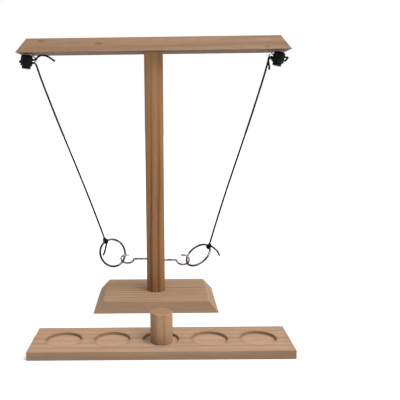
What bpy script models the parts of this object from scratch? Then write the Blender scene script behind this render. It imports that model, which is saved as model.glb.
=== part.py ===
"""Tabletop ring toss set: T-shaped wooden frame, two corded rings with their hooks, ladder board and marker peg."""
import math

import bmesh
import bpy
from mathutils import Matrix, Vector

# ---- placing (metres, z up, table at z = 0, the players' side is -y) ----
FRAME_Y = 0.07245          # post axis, so that the whole set is centred on the origin
BOARD_X, BOARD_Y = 0.006, -0.09195
GAP = 0.0003               # clearance between pieces that touch
SMALL = 0.0004             # worn edge on the wooden parts

# ---- wooden frame ----
POST_R = 0.0125
SOCKET = 0.008             # how deep the post sits in the base and in the crossbar
BASE_LOW, BASE_TOP, BASE_H = (0.165, 0.110), (0.139, 0.103), 0.0150
BAR_LOW, BAR_TOP = (0.354, 0.050), (0.329, 0.026)
BAR_Z, BAR_H = 0.3385, 0.0185
SCREW_R, SCREW_HEAD_R, SCREW_LEN = 0.0020, 0.0040, 0.034

# ---- screw hooks in the post ----
HOOK_WIRE, HOOK_R, HOOK_BEND = 0.0015, 0.0089, 0.0030
HOOK_DEPTH, HOOK_END = 0.0085, 288
HOOKS = {"left": dict(reach=0.0394, z=0.0595, roll=-35), "right": dict(reach=0.0380, z=0.0575, roll=-28)}

# ---- rings ----
RING_R, RING_WIRE = 0.0187, 0.0015
RINGS = {"left": dict(centre=(-0.0590, -0.0070, 0.0700), yaw=31, tip=20, knot=118),
         "right": dict(centre=(0.0585, -0.0055, 0.0655), lean=36, roll=68, knot=49)}
KNOT_R, KNOT_BORE = 0.0036, 0.00215

# ---- cords, screw eyes and cord locks ----
CORD_R = 0.00125
EYE_R, EYE_WIRE, EYE_W = 0.0035, 0.0008, 0.3310
PIVOT_U, PIVOT_GAP = 0.0115, 0.0020
LOCK_V = -0.008
LOCKS = {"left": dict(x=0.1664, z=0.3272, tilt=-7, eye_u=0.0074),
         "right": dict(x=0.1627, z=0.3268, tilt=14, eye_u=0.0074)}
LOCK_R, LOCK_LOW, LOCK_HIGH, LOCK_BORE, LOCK_ROOF = 0.0076, -0.0045, 0.0095, 0.0061, 0.0080
BUTTON_R, BUTTON_LOW, BUTTON_HIGH = 0.0058, -0.0083, 0.0032
CORD_HOLE_R, SLOT_LOW, SLOT_HIGH = 0.0017, -0.0049, 0.0016
SPRING_R, SPRING_WIRE, SPRING_TURNS = 0.0036, 0.00035, 3
# route of the free end from the lock: (u towards the post, v backwards, w up) from the lock's cord hole
LOOP = {"left": [(-0.0090, 0.0014, 0.0008), (-0.0092, 0.0042, 0.0020)],
        "right": [(-0.0116, 0.0006, 0.0006), (-0.0130, 0.0026, 0.0024), (-0.0118, 0.0054, 0.0030)]}
BEHIND = [(-0.0088, 0.0090, 0.0034), (-0.0040, 0.0114, 0.0042), (0.0020, 0.0122, 0.0042), (0.0068, 0.0124, 0.0038)]
TAIL = {"left": [(0.0118, 0.0046, 0.0040), (0.0140, 0.0018, 0.0062), (0.0185, -0.0004, 0.0084),
                 (0.0235, -0.0018, 0.0085), (0.0294, -0.0030, 0.0065), (0.0384, -0.0040, 0.0006)],
        "right": [(0.0108, 0.0046, 0.0030), (0.0120, 0.0044, 0.0004), (0.0114, 0.0046, -0.0040),
                  (0.0106, 0.0048, -0.0086), (0.0104, 0.0048, -0.0130)]}
# loose end at the ring knot, from the knot's centre: (x, y, z)
KNOT_TAIL = {"left": [(0.0008, -0.0034, -0.0024), (0.0011, -0.0045, -0.0040), (-0.0006, -0.0050, -0.0115),
                      (-0.0034, -0.0046, -0.0190)],
             "right": [(0.0018, -0.0036, 0.0012), (0.0036, -0.0052, 0.0014), (0.0104, -0.0064, -0.0042),
                       (0.0146, -0.0058, -0.0120)]}

# ---- ladder board and marker peg ----
BOARD, BOARD_EDGE = (0.288, 0.071, 0.0095), 0.0006
RECESS_R, RECESS_DEPTH, RECESS_PITCH, RECESS_COUNT = 0.0203, 0.0030, 0.0545, 5
DIMPLE_R, DIMPLE_DEPTH = 0.0013, 0.0010
PEG_R, PEG_H = 0.0125, 0.0345

ROUND = 48
COLOURS = {"pine": (0.55, 0.36, 0.22), "oak": (0.42, 0.25, 0.13), "steel": (0.55, 0.55, 0.57),
           "zinc": (0.62, 0.63, 0.66), "cord": (0.012, 0.012, 0.013), "plastic": (0.015, 0.015, 0.018)}
METALS = ("steel", "zinc")


def clear_scene():
    for ob in list(bpy.data.objects):
        bpy.data.objects.remove(ob, do_unlink=True)


def collection(name):
    col = bpy.data.collections.new(name)
    bpy.context.scene.collection.children.link(col)
    return col


def material(ob, kind):
    mat = bpy.data.materials.new(ob.name)
    mat.use_nodes = True
    shader = mat.node_tree.nodes["Principled BSDF"]
    shader.inputs["Base Color"].default_value = (*COLOURS[kind], 1.0)
    shader.inputs["Metallic"].default_value = 1.0 if kind in METALS else 0.0
    shader.inputs["Roughness"].default_value = 0.3 if kind in METALS else 0.6
    ob.data.materials.append(mat)


def add(name, data, kind=None):
    ob = bpy.data.objects.new(name, data)
    if kind:
        PARTS.objects.link(ob)
        material(ob, kind)
    else:
        CUTTERS.objects.link(ob)
        ob.hide_render = True
        ob.display_type = "WIRE"
    return ob


def mesh_from(bm, name):
    bmesh.ops.recalc_face_normals(bm, faces=bm.faces)
    mesh = bpy.data.meshes.new(name)
    bm.to_mesh(mesh)
    bm.free()
    return mesh


def frustum(name, low, top, z0, z1, centre, kind=None):
    """Block whose four sides slope from its lower to its upper outline."""
    bm = bmesh.new()
    bmesh.ops.create_cube(bm, size=1.0)
    for v in bm.verts:
        size, z = (low, z0) if v.co.z < 0 else (top, z1)
        v.co = Vector((centre[0] + v.co.x * size[0], centre[1] + v.co.y * size[1], z))
    return add(name, mesh_from(bm, name), kind)


def turned(name, profile, at=(0, 0, 0), turn=None, kind=None, steps=ROUND):
    """Solid turned about its own z axis; the profile runs (radius, z) from its top down to its bottom."""
    mesh = bpy.data.meshes.new(name)
    verts = [(r, 0.0, z) for r, z in profile]
    mesh.from_pydata(verts, [(i, i + 1) for i in range(len(verts) - 1)], [])
    ob = add(name, mesh, kind)
    ob.matrix_world = Matrix.Translation(at) @ (turn or Matrix())
    screw = ob.modifiers.new("turn", "SCREW")
    screw.axis, screw.angle = "Z", math.tau
    screw.steps = screw.render_steps = steps
    screw.use_merge_vertices, screw.merge_threshold = True, 0.00001
    return ob


def rod(name, radius, z0, z1, at=(0, 0, 0), turn=None, kind=None, edge=0.0, steps=ROUND):
    """Cylinder with its two rims broken by a small chamfer."""
    profile = [(0, z1), (radius - edge, z1), (radius, z1 - edge), (radius, z0 + edge), (radius - edge, z0), (0, z0)]
    if edge == 0:
        profile = [(0, z1), (radius, z1), (radius, z0), (0, z0)]
    return turned(name, profile, at, turn, kind, steps)


def cut(ob, cutter):
    mod = ob.modifiers.new("cut_" + cutter.name, "BOOLEAN")
    mod.operation, mod.solver, mod.object = "DIFFERENCE", "EXACT", cutter


def soften(ob, width=SMALL, segments=2):
    mod = ob.modifiers.new("soft_edges", "BEVEL")
    mod.width, mod.segments, mod.limit_method = width, segments, "ANGLE"


def tube(name, points, radius, kind):
    """Round wire or cord along the points."""
    curve = bpy.data.curves.new(name, "CURVE")
    curve.dimensions = "3D"
    curve.bevel_depth, curve.bevel_resolution = radius, 2
    curve.use_fill_caps = True
    spline = curve.splines.new("POLY")
    spline.points.add(len(points) - 1)
    for p, co in zip(spline.points, points):
        p.co = (*co, 1.0)
    return add(name, curve, kind)


def smooth(points, step):
    """Even points along a rounded line through the given ones."""
    pts = [Vector(p) for p in points]
    pts = [pts[0] * 2 - pts[1]] + pts + [pts[-1] * 2 - pts[-2]]
    dense = []
    for a, b, c, d in zip(pts, pts[1:], pts[2:], pts[3:]):
        for k in range(24):
            t = k / 24
            dense.append(0.5 * (2 * b + (c - a) * t + (2 * a - 5 * b + 4 * c - d) * t ** 2
                                + (3 * b - a - 3 * c + d) * t ** 3))
    dense.append(pts[-2])
    out, run = [dense[0]], 0.0
    for a, b in zip(dense, dense[1:]):
        run += (b - a).length
        if run >= step:
            out.append(b)
            run = 0.0
    if (dense[-1] - out[-1]).length > step * 0.4:
        out.append(dense[-1])
    else:
        out[-1] = dense[-1]
    return out


def sign(side):
    return -1 if side == "left" else 1


# ---------------------------------------------------------------- frame
def screw_profile(length):
    """Countersunk wood screw, head up, with a slotless flat head and a pointed end."""
    neck = SCREW_HEAD_R - SCREW_R
    return [(0, 0), (SCREW_HEAD_R, 0), (SCREW_HEAD_R, -0.0004), (SCREW_R, -0.0004 - neck),
            (SCREW_R, SCREW_R * 2 - length), (0, -length)]


def screw_hole(length):
    wide, neck = SCREW_HEAD_R + GAP, SCREW_HEAD_R - SCREW_R
    return [(0, 0.001), (wide, 0.001), (wide, -0.0006), (SCREW_R + GAP, -0.0006 - neck),
            (SCREW_R + GAP, -length - 0.001), (0, -length - 0.001)]


def build_frame():
    centre = (0, FRAME_Y)
    base = frustum("base", BASE_LOW, BASE_TOP, 0, BASE_H, centre, "pine")
    bar = frustum("crossbar", BAR_LOW, BAR_TOP, BAR_Z, BAR_Z + BAR_H, centre, "pine")
    soften(base)
    soften(bar)
    low, high = BASE_H - SOCKET + GAP, BAR_Z + SOCKET - GAP
    post = rod("post", POST_R, low, high, (0, FRAME_Y, 0), kind="oak", edge=0.0003)
    cut(base, rod("cut_base_socket", POST_R + GAP, BASE_H - SOCKET, BASE_H + 0.002, (0, FRAME_Y, 0)))
    cut(bar, rod("cut_bar_socket", POST_R + GAP, BAR_Z - 0.002, BAR_Z + SOCKET, (0, FRAME_Y, 0)))
    flip = Matrix.Rotation(math.pi, 4, "X")
    for name, at, turn, wood in (("base_screw", 0.0008, flip, base),
                                 ("crossbar_screw", BAR_Z + BAR_H - 0.0008, Matrix(), bar)):
        turned(name, screw_profile(SCREW_LEN), (0, FRAME_Y, at), turn, "zinc", 32)
        hole = turned("cut_" + name, screw_hole(SCREW_LEN), (0, FRAME_Y, at), turn, steps=32)
        cut(wood, hole)
        cut(post, hole)
    for side in ("left", "right"):
        build_hook(side, post)
        build_eye(side, bar)


def hook_points(reach):
    """Hook in its own plane: (outward from the post axis, up from the shank)."""
    lean = math.asin(HOOK_BEND / (HOOK_R + HOOK_BEND))
    start = reach - (HOOK_R + HOOK_BEND) * math.cos(lean)
    pts = [(POST_R - HOOK_DEPTH, 0.0), (POST_R, 0.0), (start, 0.0)]
    for i in range(1, 6):
        a = (math.pi / 2 - lean) * i / 5
        pts.append((start + HOOK_BEND * math.sin(a), -HOOK_BEND * (1 - math.cos(a))))
    count = 34
    for i in range(1, count + 1):
        a = lean + (math.radians(HOOK_END) - lean) * i / count
        pts.append((reach - HOOK_R * math.cos(a), -HOOK_R * math.sin(a)))
    return pts


def build_hook(side, post):
    s, hook = sign(side), HOOKS[side]
    roll = math.radians(hook["roll"])
    pts = [(s * u, FRAME_Y + w * math.sin(roll), hook["z"] + w * math.cos(roll))
           for u, w in hook_points(hook["reach"])]
    tube(side + "_hook", pts, HOOK_WIRE, "zinc")
    turn = Matrix.Rotation(s * math.pi / 2, 4, "Y")
    cut(post, rod(f"cut_{side}_hook", HOOK_WIRE + GAP, POST_R - HOOK_DEPTH - GAP, POST_R + 0.002,
                  (0, FRAME_Y, hook["z"]), turn, steps=24))


def eye_x(side):
    return sign(side) * (LOCKS[side]["x"] - LOCKS[side]["eye_u"])


def build_eye(side, bar):
    x, top = eye_x(side), BAR_Z + 0.009
    pts = [(x, FRAME_Y, top - i * (top - EYE_W - EYE_R - 0.0012) / 4) for i in range(5)]
    count = 26
    for i in range(1, count + 1):
        a = math.radians(20 + 318 * i / count)
        pts.append((x + EYE_R * math.sin(a), FRAME_Y, EYE_W + EYE_R * math.cos(a)))
    tube(side + "_screw_eye", pts, EYE_WIRE, "zinc")
    cut(bar, rod(f"cut_{side}_eye", EYE_WIRE + GAP, BAR_Z - 0.002, top + GAP, (x, FRAME_Y, 0), steps=24))


# ---------------------------------------------------------------- rings and cords
def ring_axes(side):
    """Ring centre and its plane: (centre, normal, direction to the knot)."""
    r = RINGS[side]
    centre = Vector(r["centre"]) + Vector((0, FRAME_Y, 0))
    if side == "left":
        yaw, tip = math.radians(r["yaw"]), math.radians(r["tip"])
        normal = Vector((math.sin(yaw) * math.cos(tip), -math.cos(yaw) * math.cos(tip), math.sin(tip)))
    else:
        lean, roll = math.radians(r["lean"]), math.radians(r["roll"])
        across = Vector((-math.sin(lean), 0, math.cos(lean)))
        normal = across * math.sin(roll) - Vector((0, 1, 0)) * math.cos(roll)
    a = math.radians(r["knot"])
    towards = Vector((math.cos(a), 0, math.sin(a)))
    towards = (towards - normal * towards.dot(normal)).normalized()
    return centre, normal, towards


def knot_point(side):
    centre, _, towards = ring_axes(side)
    return centre + towards * RING_R


def pivot(side):
    lock = LOCKS[side]
    tilt = math.radians(lock["tilt"])
    u, w = PIVOT_U * math.cos(tilt), PIVOT_U * math.sin(tilt)
    return Vector((sign(side) * (lock["x"] - u), FRAME_Y + LOCK_V, lock["z"] + w))


def build_ring(side):
    centre, normal, towards = ring_axes(side)
    tangent = normal.cross(towards)
    turn = Matrix((towards, tangent, normal)).transposed().to_4x4()
    bm = bmesh.new()
    loops, sides = 72, 14
    grid = []
    for i in range(loops):
        a = math.tau * i / loops
        grid.append([bm.verts.new(((RING_R + RING_WIRE * math.cos(b)) * math.cos(a),
                                   (RING_R + RING_WIRE * math.cos(b)) * math.sin(a), RING_WIRE * math.sin(b)))
                     for b in (math.tau * k / sides for k in range(sides))])
    for i in range(loops):
        for k in range(sides):
            bm.faces.new((grid[i][k], grid[i - 1][k], grid[i - 1][k - 1], grid[i][k - 1]))
    bm.transform(Matrix.Translation(centre) @ turn)
    add(side + "_ring", mesh_from(bm, side + "_ring"), "steel")
    knot = add(side + "_ring_knot", ball_mesh(side + "_ring_knot", knot_point(side)), "cord")
    along = Matrix((towards, normal, -tangent)).transposed().to_4x4()
    cut(knot, rod(f"cut_{side}_knot", KNOT_BORE, -0.01, 0.01, knot_point(side), along, steps=32))


def ball_mesh(name, at):
    bm = bmesh.new()
    bmesh.ops.create_uvsphere(bm, u_segments=32, v_segments=18, radius=KNOT_R)
    bm.transform(Matrix.Translation(at))
    return mesh_from(bm, name)


def build_cord(side):
    knot, top = knot_point(side), pivot(side)
    line = (top - knot).normalized()
    start, end = knot + line * (KNOT_R + GAP), top - line * PIVOT_GAP
    count = 42
    tube(side + "_cord", [start.lerp(end, i / count) for i in range(count + 1)], CORD_R, "cord")
    tail = [knot + Vector(p) for p in KNOT_TAIL[side]]
    tube(side + "_knot_tail", smooth(tail, 0.0016), CORD_R, "cord")


# ---------------------------------------------------------------- cord locks
def lock_frame(side):
    """Lock centre and its turn; its own x runs outward, its z up through the button."""
    lock, s = LOCKS[side], sign(side)
    at = Vector((s * lock["x"], FRAME_Y + LOCK_V, lock["z"]))
    return at, Matrix.Rotation(s * math.radians(lock["tilt"]), 4, "Y")


def lock_cord_points(side):
    lock, s = LOCKS[side], sign(side)
    at, turn = lock_frame(side)
    inside = [at + turn @ Vector((-s * u, 0, 0)) for u in (PIVOT_U - 0.0004, 0.0070, 0.0, -0.0082)]
    eu, ew = lock["eye_u"], EYE_W - lock["z"]
    eye = [(eu, 0.0108, ew), (eu, -LOCK_V, ew), (eu, 0.0062, ew)]
    rest = LOOP[side] + BEHIND + eye + TAIL[side]
    return inside + [at + Vector((-s * u, v, w)) for u, v, w in rest]


def build_lock(side):
    at, turn = lock_frame(side)
    body = turned(side + "_lock_body",
                  [(0, LOCK_HIGH), (LOCK_R - 0.0018, LOCK_HIGH), (LOCK_R - 0.0007, LOCK_HIGH - 0.0005),
                   (LOCK_R - 0.0002, LOCK_HIGH - 0.0016), (LOCK_R, LOCK_HIGH - 0.0040),
                   (LOCK_R, LOCK_LOW + 0.0020), (LOCK_R - 0.0004, LOCK_LOW + 0.0005), (LOCK_R - 0.0009, LOCK_LOW),
                   (0, LOCK_LOW)], at, turn, "plastic")
    cut(body, rod(f"cut_{side}_bore", LOCK_BORE, LOCK_LOW - 0.002, LOCK_ROOF, at, turn))
    across = turn @ Matrix.Rotation(math.pi / 2, 4, "Y")
    cut(body, rod(f"cut_{side}_cord_hole", CORD_HOLE_R, -0.012, 0.012, at, across, steps=24))
    button = rod(side + "_lock_button", BUTTON_R, BUTTON_LOW, BUTTON_HIGH, at, turn, "plastic", edge=0.0006)
    slot = frustum(f"cut_{side}_slot", (0.03, CORD_HOLE_R * 2), (0.03, CORD_HOLE_R * 2), SLOT_LOW, SLOT_HIGH, (0, 0))
    slot.matrix_world = Matrix.Translation(at) @ turn
    cut(button, slot)
    low, high = BUTTON_HIGH + SPRING_WIRE + GAP, LOCK_ROOF - SPRING_WIRE - GAP
    count = SPRING_TURNS * 16
    coil = []
    for i in range(count + 1):
        a = math.tau * i / 16
        coil.append(at + turn @ Vector((SPRING_R * math.cos(a), SPRING_R * math.sin(a), low + (high - low) * i / count)))
    tube(side + "_lock_spring", coil, SPRING_WIRE, "zinc")
    tube(side + "_lock_cord", smooth(lock_cord_points(side), 0.0014), CORD_R, "cord")


# ---------------------------------------------------------------- ladder board and peg
def build_board():
    length, depth, height = BOARD
    board = frustum("ladder_board", (length, depth), (length, depth), 0, height, (BOARD_X, BOARD_Y), "pine")
    soften(board, BOARD_EDGE)
    for i in range(RECESS_COUNT):
        x = BOARD_X + (i - (RECESS_COUNT - 1) / 2) * RECESS_PITCH
        floor = height - RECESS_DEPTH
        cut(board, turned(f"cut_recess_{i + 1}",
                          [(0, height + 0.002), (RECESS_R, height + 0.002), (RECESS_R, floor), (DIMPLE_R, floor),
                           (0, floor - DIMPLE_DEPTH)], (x, BOARD_Y, 0)))
    low = height - RECESS_DEPTH + GAP
    rod("marker_peg", PEG_R, low, low + PEG_H, (BOARD_X + 0.0008, BOARD_Y, 0), kind="pine", edge=0.0005)


clear_scene()
PARTS, CUTTERS = collection("ring_toss_set"), collection("cutters")
build_frame()
for hand in ("left", "right"):
    build_ring(hand)
    build_cord(hand)
    build_lock(hand)
build_board()
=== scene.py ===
"""Looks of the ring toss set: wood, steel, zinc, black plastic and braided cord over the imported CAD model."""
import math

import bmesh
import bpy
from mathutils import Matrix, Vector


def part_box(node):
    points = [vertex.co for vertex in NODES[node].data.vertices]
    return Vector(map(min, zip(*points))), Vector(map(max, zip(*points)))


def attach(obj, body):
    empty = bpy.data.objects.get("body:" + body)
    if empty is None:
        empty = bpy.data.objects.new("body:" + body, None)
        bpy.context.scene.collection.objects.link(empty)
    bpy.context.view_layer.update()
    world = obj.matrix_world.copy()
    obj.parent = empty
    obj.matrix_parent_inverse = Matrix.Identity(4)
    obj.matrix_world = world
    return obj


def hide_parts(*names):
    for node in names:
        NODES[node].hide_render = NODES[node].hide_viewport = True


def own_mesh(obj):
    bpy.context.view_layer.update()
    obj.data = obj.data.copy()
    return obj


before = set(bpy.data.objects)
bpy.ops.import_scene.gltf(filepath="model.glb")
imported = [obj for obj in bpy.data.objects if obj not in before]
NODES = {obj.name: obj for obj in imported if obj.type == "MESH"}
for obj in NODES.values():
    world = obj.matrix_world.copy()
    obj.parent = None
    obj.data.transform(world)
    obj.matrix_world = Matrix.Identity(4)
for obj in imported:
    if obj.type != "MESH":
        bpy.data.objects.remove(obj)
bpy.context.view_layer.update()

# ---- sizes repeated from the CAD source, in metres ----
FRAME_Y = 0.07245
BOARD_X, BOARD_Y = 0.006, -0.09195
RECESS_PITCH, RECESS_R = 0.0545, 0.0203
PEG_X = BOARD_X + 0.0008
RING_R, RING_WIRE = 0.0187, 0.0015
RINGS = {"left": dict(centre=(-0.0590, -0.0070, 0.0700), yaw=31, tip=20, knot=118),
         "right": dict(centre=(0.0585, -0.0055, 0.0655), lean=36, roll=68, knot=49)}
CORD_R = 0.00125
CORD_STEP = 0.00035
EYE_W, LOCK_V, PIVOT_U = 0.3310, -0.008, 0.0115
LOCK_R, LOCK_LOW, LOCK_HIGH, LOCK_ROOF, BUTTON_HIGH = 0.0076, -0.0045, 0.0095, 0.0080, 0.0032
SPRING_R, SPRING_WIRE, SPRING_TURNS, SPRING_SIDES = 0.0036, 0.00035, 3, 32
PRESS, GAP = 0.0024, 0.0003
LOCKS = {"left": dict(x=0.1664, z=0.3272, tilt=-7, eye_u=0.0074),
         "right": dict(x=0.1627, z=0.3268, tilt=14, eye_u=0.0074)}
LOOP = {"left": [(-0.0090, 0.0014, 0.0008), (-0.0092, 0.0042, 0.0020)],
        "right": [(-0.0116, 0.0006, 0.0006), (-0.0130, 0.0026, 0.0024), (-0.0118, 0.0054, 0.0030)]}
BEHIND = [(-0.0088, 0.0090, 0.0034), (-0.0040, 0.0114, 0.0042), (0.0020, 0.0122, 0.0042), (0.0068, 0.0124, 0.0038)]
TAIL = {"left": [(0.0118, 0.0046, 0.0040), (0.0140, 0.0018, 0.0062), (0.0185, -0.0004, 0.0084),
                 (0.0235, -0.0018, 0.0085), (0.0294, -0.0030, 0.0065), (0.0384, -0.0040, 0.0006)],
        "right": [(0.0108, 0.0046, 0.0030), (0.0120, 0.0044, 0.0004), (0.0114, 0.0046, -0.0040),
                  (0.0106, 0.0048, -0.0086), (0.0104, 0.0048, -0.0130)]}
KNOT_TAIL = {"left": [(0.0008, -0.0034, -0.0024), (0.0011, -0.0045, -0.0040), (-0.0006, -0.0050, -0.0115),
                      (-0.0034, -0.0046, -0.0190)],
             "right": [(0.0018, -0.0036, 0.0012), (0.0036, -0.0052, 0.0014), (0.0104, -0.0064, -0.0042),
                       (0.0146, -0.0058, -0.0120)]}

# ---- camera ----
CAMERA_AT = (0.00573, -0.71165, 0.26085)
CAMERA_PITCH, CAMERA_YAW, CAMERA_ROLL = -0.15055, 0.01262, -0.01218
CAMERA_LENS, CAMERA_SHIFT, SENSOR_WIDTH = 52.14, 0.120, 36


def place_camera():
    cp, sp = math.cos(CAMERA_PITCH), math.sin(CAMERA_PITCH)
    cy, sy = math.cos(CAMERA_YAW), math.sin(CAMERA_YAW)
    cr, sr = math.cos(CAMERA_ROLL), math.sin(CAMERA_ROLL)
    side, ahead, up = Vector((cy, sy, 0)), Vector((-sy, cy, 0)), Vector((0, 0, 1))
    look = ahead * cp + up * sp
    over = up * cp - ahead * sp
    right, top = side * cr + over * sr, over * cr - side * sr
    data = bpy.data.cameras.new("camera")
    data.lens, data.sensor_width, data.shift_x = CAMERA_LENS, SENSOR_WIDTH, CAMERA_SHIFT
    data.clip_start, data.clip_end = 0.01, 50
    cam = bpy.data.objects.new("camera", data)
    bpy.context.scene.collection.objects.link(cam)
    turn = Matrix((right, top, -look)).transposed().to_4x4()
    cam.matrix_world = Matrix.Translation(CAMERA_AT) @ turn
    bpy.context.scene.camera = cam


# ---------------------------------------------------------------- node materials
EVEN = (1, 1, 1)
GRAIN_ALONG = {"x": (1.0, 18.0, 18.0), "z": (18.0, 18.0, 1.0)}
RECESS_LIP = 0.0008
DRIFT_SPAN = 0.36


class Paint:
    """A Principled material with short calls for the nodes that feed it."""

    def __init__(self, name, **sockets):
        self.mat = bpy.data.materials.new(name)
        self.mat.use_nodes = True
        self.tree = self.mat.node_tree
        self.shader = self.tree.nodes["Principled BSDF"]
        for key, value in sockets.items():
            self.shader.inputs[key.replace("_", " ")].default_value = value
        self.object = self.node("ShaderNodeTexCoord").outputs["Object"]

    def node(self, kind, **values):
        n = self.tree.nodes.new(kind)
        for key, value in values.items():
            setattr(n, key, value)
        return n

    def link(self, a, b):
        self.tree.links.new(a, b)

    def feed(self, node, **inputs):
        """Sets or links the node's inputs by name."""
        for key, value in inputs.items():
            socket = node.inputs[int(key[1:])] if key[0] == "i" and key[1:].isdigit() else node.inputs[key]
            if isinstance(value, bpy.types.NodeSocket):
                self.link(value, socket)
            else:
                socket.default_value = value
        return node

    def stretched(self, scale, at=(0, 0, 0)):
        return self.feed(self.node("ShaderNodeMapping"), Vector=self.object, Scale=scale, Location=at).outputs[0]

    def noise(self, vector, scale, detail=4.0, rough=0.55, distort=0.0):
        n = self.node("ShaderNodeTexNoise")
        self.feed(n, Vector=vector, Scale=scale, Detail=detail, Roughness=rough, Distortion=distort)
        return n.outputs["Fac"]

    def ramp(self, fac, stops):
        n = self.node("ShaderNodeValToRGB")
        ramp = n.color_ramp
        while len(ramp.elements) < len(stops):
            ramp.elements.new(0.5)
        for element, (place, colour) in zip(ramp.elements, stops):
            element.position = place
            element.color = (*colour, 1.0) if not isinstance(colour, float) else (colour, colour, colour, 1.0)
        self.link(fac, n.inputs["Fac"])
        return n.outputs["Color"]

    def mix(self, fac, a, b):
        n = self.node("ShaderNodeMix", data_type="RGBA")
        self.feed(n, i0=fac, i6=a, i7=b)
        return n.outputs[2]

    def math(self, how, *values):
        n = self.node("ShaderNodeMath", operation=how)
        self.feed(n, **{f"i{i}": v for i, v in enumerate(values)})
        return n.outputs[0]

    def split(self, vector):
        return self.feed(self.node("ShaderNodeSeparateXYZ"), Vector=vector).outputs

    def distance(self, x, y, at):
        dx, dy = self.math("SUBTRACT", x, at[0]), self.math("SUBTRACT", y, at[1])
        return self.math("SQRT", self.math("ADD", self.math("MULTIPLY", dx, dx), self.math("MULTIPLY", dy, dy)))

    def spot(self, at, size):
        """1 in the middle of an ellipsoid and 0 outside it, with a soft edge."""
        d = self.stretched([1 / s for s in size], [-p / s for p, s in zip(at, size)])
        length = self.node("ShaderNodeVectorMath", operation="LENGTH")
        self.link(d, length.inputs[0])
        return self.math("SUBTRACT", 1.0, self.math("MINIMUM", length.outputs["Value"], 1.0))

    def bump(self, height, depth, strength=1.0, under=None):
        n = self.node("ShaderNodeBump")
        self.feed(n, Height=height, Distance=depth, Strength=strength)
        if under is not None:
            self.link(under, n.inputs["Normal"])
        return n.outputs["Normal"]

    def finish(self, colour=None, rough=None, normal=None):
        for key, value in (("Base Color", colour), ("Roughness", rough), ("Normal", normal)):
            if value is not None:
                self.link(value, self.shader.inputs[key])
        return self.mat


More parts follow.
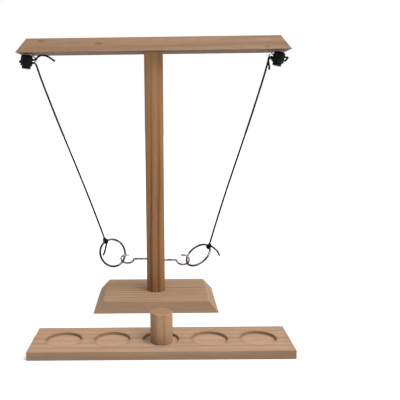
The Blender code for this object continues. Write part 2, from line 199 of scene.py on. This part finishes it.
def wood(name, along, tones, seed, knots=(), streak=1.0, end_centre=None, underside_shade=None, rings=None,
         side_shade_keep=1.0, drift=0.0, pale_above=None):
    """Softwood with grain along x or z: growth bands, fibre, pores and knots.

    end_centre draws year rings on a top end, underside is the colour of painted shade on faces that look down,
    side_shade_keep sets painted shade on faces that look sideways (1.0 none, lower darker), drift darkens towards -x,
    pale_above lightens between two heights, and rings marks round cut recesses.
    """
    p = Paint(name, Specular_IOR_Level=0.10)
    grain = p.stretched(GRAIN_ALONG[along], (seed * 3.1, seed * 1.7, seed * 2.3))
    warp = p.noise(p.stretched((6, 6, 6), (seed, 0, 0)), 1.0, 2.0)
    broad = p.noise(grain, 5.5, 3.0, 0.5, 0.6)
    bands = p.node("ShaderNodeTexWave", wave_type="BANDS", bands_direction="Y" if along == "x" else "X")
    p.feed(bands, Vector=grain, Scale=1.55, Distortion=7.0, Detail=3.0)
    p.link(warp, bands.inputs["Phase Offset"])
    fibre = p.noise(grain, 60.0, 5.0, 0.7)
    dark, mid, light = tones
    colour = p.ramp(broad, [(0.30, mid), (0.52, light), (0.72, mid)])
    lines = p.ramp(bands.outputs["Fac"], [(0.0, 0.0), (0.62, 0.05), (0.90, 0.75), (1.0, 1.0)])
    colour = p.mix(p.math("MULTIPLY", lines, 0.42 * streak), colour, (*dark, 1))
    thread = p.ramp(fibre, [(0.36, 1.0), (0.55, 0.0)])
    colour = p.mix(p.math("MULTIPLY", thread, 0.34), colour, (*dark, 1))
    pore = p.ramp(p.noise(grain, 190.0, 2.0), [(0.62, 0.0), (0.72, 1.0)])
    colour = p.mix(p.math("MULTIPLY", pore, 0.16), colour, (*[c * 0.5 for c in dark], 1))
    for at, size in knots:
        eye = p.spot(at, size)
        shade = p.ramp(eye, [(0.0, 0.0), (0.55, 0.45), (1.0, 0.95)])
        colour = p.mix(shade, colour, (*[c * 0.42 for c in dark], 1))
    height = p.math("ADD", p.math("MULTIPLY", fibre, 0.6), p.math("MULTIPLY", bands.outputs["Fac"], 0.4))
    facing = p.split(p.node("ShaderNodeTexCoord").outputs["Normal"])
    if end_centre:
        x, y, _ = p.split(p.object)
        wobble = p.math("MULTIPLY", p.noise(p.stretched((90, 90, 90)), 1.0, 2.0), 0.0016)
        radius = p.math("ADD", p.distance(x, y, end_centre), wobble)
        turns = p.math("SINE", p.math("MULTIPLY", radius, 4200.0))
        year = p.math("MULTIPLY_ADD", turns, 0.5, 0.5)
        age = p.ramp(year, [(0.0, [c * 0.72 for c in light]), (0.7, [c * 0.72 for c in mid]),
                            (1.0, [c * 0.58 for c in mid])])
        speck = p.ramp(p.noise(p.stretched(EVEN), 2600.0, 2.0), [(0.55, 0.0), (0.7, 1.0)])
        age = p.mix(p.math("MULTIPLY", speck, 0.25), age, (*dark, 1))
        colour = p.mix(p.ramp(facing[2], [(0.80, 0.0), (0.92, 1.0)]), colour, age)
    if rings:
        x, y, z = p.split(p.object)
        step = p.math("ADD", p.math("DIVIDE", p.math("SUBTRACT", x, rings["x"]), rings["pitch"]), 0.5)
        part = p.math("SUBTRACT", p.math("FRACT", p.math("ADD", step, 20.0)), 0.5)
        local = p.math("MULTIPLY", part, rings["pitch"])
        radius = p.distance(local, y, (0.0, rings["y"]))
    # Painted shade: faces that look sideways are mixed towards a dark brown, except the walls of the recesses.
    if side_shade_keep < 1.0:
        side_shade_mask = p.ramp(p.math("ABSOLUTE", facing[2]), [(0.28, 1.0 - side_shade_keep), (0.45, 0.0)])
        if rings:
            side_shade_mask = p.math("MULTIPLY", side_shade_mask, p.math("GREATER_THAN", radius, rings["radius"] + RECESS_LIP))
        colour = p.mix(side_shade_mask, colour, (*[c * 0.35 for c in dark], 1))
    # Painted shade: faces that look down are mixed towards a darker greyish brown, broken by the fibre pattern.
    if underside_shade:
        down = p.ramp(p.math("MULTIPLY", facing[2], -1.0), [(0.55, 0.0), (0.95, 1.0)])
        painted_down_shade = p.mix(p.math("MULTIPLY", thread, 0.3), (*underside_shade, 1), (*[c * 0.7 for c in underside_shade], 1))
        colour = p.mix(down, colour, painted_down_shade)
    if drift:
        reach = p.math("MULTIPLY_ADD", p.split(p.object)[0], 1 / DRIFT_SPAN, 0.5)
        colour = p.mix(p.ramp(reach, [(0.0, drift * 1.6), (0.45, drift * 0.4), (1.0, 0.0)]), colour, (*dark, 1))
    rough = p.ramp(fibre, [(0.3, 0.80), (0.7, 0.62)])
    normal = p.bump(height, 0.00018, 0.55)
    if pale_above:
        height_up = p.math("MULTIPLY", p.split(p.object)[2], 1.0 / pale_above[1])
        colour = p.mix(p.ramp(height_up, [(pale_above[0] / pale_above[1], 0.0), (1.0, 0.55)]), colour,
                       (*[c * k for c, k in zip(light, (1.12, 1.30, 1.52))], 1))
    if rings:
        tool = p.math("SINE", p.math("MULTIPLY", radius, 5200.0))
        inside = p.math("LESS_THAN", radius, rings["radius"] + RECESS_LIP)
        sunk = p.math("MULTIPLY", p.math("LESS_THAN", z, rings["floor"]), inside)
        normal = p.bump(p.math("MULTIPLY", tool, sunk), 0.00006, 0.6, normal)
        clean = p.ramp(p.noise(grain, 9.0, 3.0), [(0.35, mid), (0.6, light)])
        colour = p.mix(p.math("MULTIPLY", sunk, 0.55), colour, clean)
        edge = p.math("MULTIPLY", p.ramp(p.math("ABSOLUTE", p.math("SUBTRACT", radius, rings["radius"])),
                                         [(0.0, 1.0), (0.0011, 0.0)]), 0.35)
        colour = p.mix(edge, colour, (*dark, 1))
    worn = p.node("ShaderNodeNewGeometry").outputs["Pointiness"]
    colour = p.mix(p.ramp(worn, [(0.50, 0.0), (0.60, 0.35)]), colour, (*[c * 0.75 for c in mid], 1))
    return p.finish(colour, rough, normal)


def metal(name, base, tint, dirt, rough, scale):
    """Plated or polished wire: cloudy tone, fine scratches and a little tarnish."""
    p = Paint(name, Metallic=1.0, Specular_IOR_Level=0.6)
    cloud = p.noise(p.stretched(EVEN), scale, 3.0, 0.6)
    scratch = p.noise(p.stretched(EVEN), scale * 5, 4.0, 0.7)
    colour = p.ramp(cloud, [(0.32, dirt), (0.48, base), (0.66, tint)])
    colour = p.mix(p.ramp(scratch, [(0.60, 0.0), (0.75, 0.35)]), colour, (*dirt, 1))
    gloss = p.ramp(scratch, [(0.3, rough), (0.75, rough + 0.22)])
    return p.finish(colour, gloss, p.bump(scratch, 0.00003, 0.5))


def plastic(name):
    """Moulded black plastic with a fine spark texture, rubbed slightly paler in places."""
    p = Paint(name, Specular_IOR_Level=0.14)
    fine = p.noise(p.stretched(EVEN), 3200.0, 2.0, 0.6)
    rub = p.noise(p.stretched(EVEN), 260.0, 4.0, 0.6)
    colour = p.ramp(rub, [(0.40, (0.0020, 0.0020, 0.0028)), (0.62, (0.0045, 0.0044, 0.0062)),
                          (0.78, (0.011, 0.011, 0.014))])
    return p.finish(colour, p.ramp(rub, [(0.3, 0.36), (0.8, 0.55)]), p.bump(fine, 0.00005, 0.5))


def braid(name):
    """Black polyester braid: thread colour variation, a soft sheen and stray fibres."""
    p = Paint(name, Specular_IOR_Level=0.12)
    thread = p.noise(p.stretched(EVEN), 2400.0, 3.0, 0.7)
    dust = p.noise(p.stretched(EVEN), 180.0, 3.0, 0.6)
    colour = p.ramp(thread, [(0.35, (0.0015, 0.0015, 0.0018)), (0.6, (0.0060, 0.0060, 0.0066)),
                             (0.8, (0.018, 0.018, 0.020))])
    colour = p.mix(p.ramp(dust, [(0.55, 0.0), (0.8, 0.35)]), colour, (0.012, 0.012, 0.013, 1))
    return p.finish(colour, p.ramp(thread, [(0.3, 0.85), (0.7, 0.6)]), p.bump(thread, 0.00010, 0.7))


# ---------------------------------------------------------------- cord building
def sign(side):
    return -1 if side == "left" else 1


def smooth(points, step):
    """Even points along a rounded line through the given ones."""
    pts = [Vector(p) for p in points]
    pts = [pts[0] * 2 - pts[1]] + pts + [pts[-1] * 2 - pts[-2]]
    dense = []
    for a, b, c, d in zip(pts, pts[1:], pts[2:], pts[3:]):
        for k in range(24):
            t = k / 24
            dense.append(0.5 * (2 * b + (c - a) * t + (2 * a - 5 * b + 4 * c - d) * t ** 2
                                + (3 * b - a - 3 * c + d) * t ** 3))
    dense.append(pts[-2])
    return even(dense, step)


def even(line, step):
    """The same line with points a fixed distance apart."""
    total = sum((b - a).length for a, b in zip(line, line[1:]))
    count = max(2, round(total / step))
    gap, out, run, target = total / count, [line[0]], 0.0, total / count
    for a, b in zip(line, line[1:]):
        seg = (b - a).length
        while seg > 0 and run + seg >= target - 1e-12 and len(out) < count:
            out.append(a.lerp(b, (target - run) / seg))
            target += gap
        run += seg
    return out + [line[-1]]


def sweep(name, line, radius, material, braids=4, sides=16, pitch=0.0060, relief=0.07, flare=0.0):
    """Tube along the line with crossing braided strands in its surface and rounded, melted ends."""
    bm = bmesh.new()
    tangent = (line[1] - line[0]).normalized()
    normal = tangent.orthogonal().normalized()
    run, grid = 0.0, []
    count = len(line)
    for i, point in enumerate(line):
        ahead = (line[min(i + 1, count - 1)] - line[max(i - 1, 0)]).normalized()
        normal = (normal - ahead * normal.dot(ahead)).normalized()
        across = ahead.cross(normal)
        left = (line[-1] - point).length if i > count / 2 else (point - line[0]).length
        cap = math.sqrt(max(0.0, 1 - max(0.0, 1 - left / (radius * 0.8)) ** 2)) if left < radius * 0.8 else 1.0
        ring = []
        for k in range(sides):
            a = math.tau * k / sides
            twist = math.tau * run / pitch
            over = math.cos(braids * a + twist) * math.cos(braids * a - twist)
            r = radius * (1 - relief * (0.5 - 0.5 * over)) * max(cap, 0.25)
            if flare and i > count - 8:
                r *= 1 + flare * (i - count + 8) / 8
            ring.append(bm.verts.new(point + (normal * math.cos(a) + across * math.sin(a)) * r))
        grid.append(ring)
        if i + 1 < count:
            run += (line[i + 1] - point).length
    for one, two in zip(grid, grid[1:]):
        for k in range(sides):
            bm.faces.new((one[k], one[k - 1], two[k - 1], two[k]))
    bm.faces.new(grid[0])
    bm.faces.new(list(reversed(grid[-1])))
    return piece(name, bm, material)


def piece(name, bm, material, smooth_faces=True):
    bmesh.ops.recalc_face_normals(bm, faces=bm.faces)
    mesh = bpy.data.meshes.new(name)
    bm.to_mesh(mesh)
    bm.free()
    for face in mesh.polygons:
        face.use_smooth = smooth_faces
    ob = bpy.data.objects.new(name, mesh)
    bpy.context.scene.collection.objects.link(ob)
    ob.data.materials.append(material)
    return ob


def ring_axes(side):
    """Ring centre and its plane: (centre, normal, direction to the knot)."""
    r = RINGS[side]
    centre = Vector(r["centre"]) + Vector((0, FRAME_Y, 0))
    if side == "left":
        yaw, tip = math.radians(r["yaw"]), math.radians(r["tip"])
        normal = Vector((math.sin(yaw) * math.cos(tip), -math.cos(yaw) * math.cos(tip), math.sin(tip)))
    else:
        lean, roll = math.radians(r["lean"]), math.radians(r["roll"])
        across = Vector((-math.sin(lean), 0, math.cos(lean)))
        normal = across * math.sin(roll) - Vector((0, 1, 0)) * math.cos(roll)
    a = math.radians(r["knot"])
    towards = Vector((math.cos(a), 0, math.sin(a)))
    towards = (towards - normal * towards.dot(normal)).normalized()
    return centre, normal, towards


def pivot(side):
    lock = LOCKS[side]
    tilt = math.radians(lock["tilt"])
    u, w = PIVOT_U * math.cos(tilt), PIVOT_U * math.sin(tilt)
    return Vector((sign(side) * (lock["x"] - u), FRAME_Y + LOCK_V, lock["z"] + w))


def lock_frame(side):
    lock, s = LOCKS[side], sign(side)
    at = Vector((s * lock["x"], FRAME_Y + LOCK_V, lock["z"]))
    return at, Matrix.Rotation(s * math.radians(lock["tilt"]), 4, "Y")


def lock_cord_line(side):
    lock, s = LOCKS[side], sign(side)
    at, turn = lock_frame(side)
    inside = [at + turn @ Vector((-s * u, 0, 0)) for u in (PIVOT_U, 0.0070, 0.0, -0.0082)]
    eu, ew = lock["eye_u"], EYE_W - lock["z"]
    eye = [(eu, 0.0108, ew), (eu, -LOCK_V, ew), (eu, 0.0062, ew)]
    rest = LOOP[side] + BEHIND + eye + TAIL[side]
    return smooth(inside + [at + Vector((-s * u, v, w)) for u, v, w in rest], CORD_STEP)


def knot_line(side):
    """Two wraps round the ring's wire, one turn crossing over them, then the loose end."""
    centre, normal, towards = ring_axes(side)
    at = centre + towards * RING_R
    along = normal.cross(towards)
    up = (pivot(side) - at).normalized()
    wrap = RING_WIRE + CORD_R * 0.92
    line = [at + up * 0.0066, at + up * 0.0048 + along * 0.0002]
    start = math.atan2(up.dot(normal), up.dot(towards))
    for i in range(33):
        a = start + math.tau * 2.0 * i / 32
        shift = -0.0015 + 0.0030 * i / 32
        line.append(at + (towards * math.cos(a) + normal * math.sin(a)) * wrap + along * shift)
    top = towards * math.cos(start) + normal * math.sin(start)
    line.append(at + top * 0.0040 + along * 0.0012)
    line.append(at + top * 0.0044 - along * 0.0010)
    tail = [at + Vector(p) for p in KNOT_TAIL[side]]
    line.append(at + (tail[0] - at) * 0.9 - along * 0.0014 + top * 0.0010)
    return smooth(line + tail[1:], CORD_STEP)


def build_cords():
    cord_mat = braid("black_braid")
    for side in ("left", "right"):
        centre, normal, towards = ring_axes(side)
        knot, top = centre + towards * RING_R, pivot(side)
        down = (knot - top).normalized()
        out = Vector((sign(side), 0, 0)) - down * down.x * sign(side)
        span = (knot - top).length
        bend = [top, top + down * 0.0016 - out * 0.0004, top + down * 0.0050 - out * 0.0004]
        wander = [top + down * span * t + out * 0.0007 * math.sin(math.tau * t) for t in
                  [k / 12 for k in range(1, 12)]]
        line = smooth(bend + wander + [knot - down * 0.0060], CORD_STEP)
        run = sweep(side + "_main_cord", line, CORD_R, cord_mat)
        tied = sweep(side + "_cord_knot", knot_line(side), CORD_R, cord_mat, flare=0.12)
        for ob, nodes in ((run, [side + "_cord"]), (tied, [side + "_ring_knot", side + "_knot_tail"])):
            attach(ob, side + "_line")
            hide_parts(*nodes)
        free = lock_cord_line(side)
        end = sweep(side + "_cord_end", free, CORD_R, cord_mat, flare=0.15)
        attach(end, "frame")
        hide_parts(side + "_lock_cord")


# ---------------------------------------------------------------- cord lock details
def ring_band(bm, radius, z, width, height, teeth=0, segments=96):
    """Raised band round the lock's own axis, plain or toothed for grip."""
    grid = []
    for i in range(segments):
        a = math.tau * i / segments
        lift = height * (1.0 if not teeth else max(0.0, math.sin(teeth * a)) ** 0.5)
        profile = [(radius - 0.0002, z - width / 2), (radius + lift * 0.7, z - width / 2 + 0.0002),
                   (radius + lift, z), (radius + lift * 0.7, z + width / 2 - 0.0002), (radius - 0.0002, z + width / 2)]
        grid.append([bm.verts.new((r * math.cos(a), r * math.sin(a), h)) for r, h in profile])
    for one, two in zip(grid, grid[1:] + grid[:1]):
        for k in range(len(one)):
            bm.faces.new((one[k], one[k - 1], two[k - 1], two[k]))


def build_spring(side, at, turn, mat):
    """Three turns of wire between the button and the lock's roof."""
    low, high = BUTTON_HIGH + SPRING_WIRE + GAP, LOCK_ROOF - SPRING_WIRE - GAP
    count = SPRING_TURNS * SPRING_SIDES
    line = []
    for i in range(count + 1):
        a = math.tau * i / SPRING_SIDES
        coil = Vector((SPRING_R * math.cos(a), SPRING_R * math.sin(a), low + (high - low) * i / count))
        line.append(at + turn @ coil)
    spring = sweep(side + "_spring_wire", line, SPRING_WIRE, mat, relief=0.0, sides=8)
    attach(spring, "frame")
    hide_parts(side + "_lock_spring")
    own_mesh(spring)


def build_locks(mat, spring_mat):
    for side in ("left", "right"):
        at, turn = lock_frame(side)
        build_spring(side, at, turn, spring_mat)
        bm = bmesh.new()
        ring_band(bm, LOCK_R - 0.0004, LOCK_LOW + 0.0011, 0.0018, 0.0006)
        ring_band(bm, LOCK_R - 0.0002, LOCK_HIGH - 0.0047, 0.0040, 0.0004, teeth=30, segments=240)
        bm.transform(Matrix.Translation(at) @ turn)
        grip = piece(side + "_lock_grip", bm, mat)
        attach(grip, "frame")


# ---------------------------------------------------------------- surroundings
AMBIENT, KEY_POWER, TOP_POWER = 0.40, 3.0, 0.9
KEY_SOFTNESS, TOP_SOFTNESS = 50, 90
FLOOR_HALF, FLOOR_DROP = 6.0, 0.0002
WHITE = (1.0, 1.0, 1.0, 1.0)


def build_stage():
    bm = bmesh.new()
    bmesh.ops.create_grid(bm, x_segments=8, y_segments=8, size=FLOOR_HALF)
    floor = piece("floor", bm, floor_material(), False)
    floor.location.z = -FLOOR_DROP


def floor_material():
    p = Paint("floor", Specular_IOR_Level=0.1, Roughness=0.9)
    tone = p.noise(p.stretched(EVEN), 3.0, 2.0)
    return p.finish(p.ramp(tone, [(0.3, (0.93, 0.93, 0.93)), (0.7, (0.95, 0.95, 0.95))]))


def lamp(name, at, strength, softness, colour=(1, 1, 1)):
    """Broad soft light from the side of the point given, the same everywhere on the floor."""
    data = bpy.data.lights.new(name, "SUN")
    data.energy, data.angle, data.color = strength, math.radians(softness), colour
    ob = bpy.data.objects.new(name, data)
    ob.location = at
    ob.rotation_mode = "QUATERNION"
    ob.rotation_quaternion = (-Vector(at)).to_track_quat("-Z", "Y")
    bpy.context.scene.collection.objects.link(ob)


def build_light():
    world = bpy.data.worlds.new("studio")
    world.use_nodes = True
    tree = world.node_tree
    lit = tree.nodes["Background"]
    lit.inputs["Strength"].default_value = AMBIENT
    lit.inputs["Color"].default_value = WHITE
    wall = tree.nodes.new("ShaderNodeBackground")
    wall.inputs["Color"].default_value = WHITE
    seen, both = tree.nodes.new("ShaderNodeLightPath"), tree.nodes.new("ShaderNodeMixShader")
    tree.links.new(seen.outputs["Is Camera Ray"], both.inputs[0])
    tree.links.new(lit.outputs[0], both.inputs[1])
    tree.links.new(wall.outputs[0], both.inputs[2])
    tree.links.new(both.outputs[0], tree.nodes["World Output"].inputs["Surface"])
    bpy.context.scene.world = world
    lamp("key", (0.85, -0.45, 1.45), KEY_POWER, KEY_SOFTNESS, colour=(1.0, 0.985, 0.96))
    lamp("top", (-0.3, 0.3, 1.9), TOP_POWER, TOP_SOFTNESS)
    bpy.context.scene.view_settings.view_transform = "Standard"


# ---------------------------------------------------------------- finishes on the CAD nodes
BAR_KNOTS = [((-0.1450, FRAME_Y - 0.0160, 0.3530), (0.0060, 0.006, 0.0022)),
             ((-0.0700, FRAME_Y - 0.0190, 0.3490), (0.0085, 0.006, 0.0020)),
             ((0.1460, FRAME_Y - 0.0230, 0.3420), (0.0050, 0.006, 0.0014))]


def tones(middle, depth):
    """Dark, middle and light wood colours round one display colour; depth is the dark grain's share of it."""
    base = [(c / 255) ** 2.2 for c in middle]
    warm = (1.0, 0.86, 0.74)
    return [b * depth * w for b, w in zip(base, warm)], base, [b * 1.22 for b in base]


def paint_nodes():
    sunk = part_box("ladder_board")[1].z - 0.0005
    steel = metal("dark_steel", (0.075, 0.058, 0.050), (0.26, 0.23, 0.215), (0.030, 0.021, 0.018), 0.24, 90.0)
    zinc = metal("bright_zinc", (0.40, 0.41, 0.45), (0.78, 0.79, 0.82), (0.07, 0.075, 0.10), 0.16, 160.0)
    black = plastic("black_plastic")
    finish = {
        "crossbar": wood("bar_wood", "x", tones((148, 120, 97), 0.56), 0.7, BAR_KNOTS, 1.0, drift=0.24,
                         underside_shade=(0.070, 0.045, 0.038), side_shade_keep=0.8),
        "base": wood("base_wood", "x", tones((155, 128, 104), 0.48), 2.9, streak=1.3, side_shade_keep=0.74),
        "post": wood("post_wood", "z", tones((143, 104, 72), 0.32), 1.3, streak=1.8, pale_above=(0.17, 0.30)),
        "ladder_board": wood("board_wood", "x", tones((158, 131, 109), 0.62), 4.6, streak=1.0,
                             side_shade_keep=0.68, drift=0.12,
                             rings=dict(x=BOARD_X, y=BOARD_Y, pitch=RECESS_PITCH, radius=RECESS_R, floor=sunk)),
        "marker_peg": wood("peg_wood", "z", tones((164, 132, 103), 0.58), 6.2, streak=1.1,
                           end_centre=(PEG_X + 0.004, BOARD_Y - 0.003)),
    }
    for name, ob in NODES.items():
        if name in finish:
            mat = finish[name]
        elif name.endswith("_ring"):
            mat = steel
        elif "lock_body" in name or "lock_button" in name:
            mat = black
        else:
            mat = zinc
        ob.data.materials.clear()
        ob.data.materials.append(mat)
    return black, zinc


place_camera()
build_stage()
build_light()
build_cords()
build_locks(*paint_nodes())
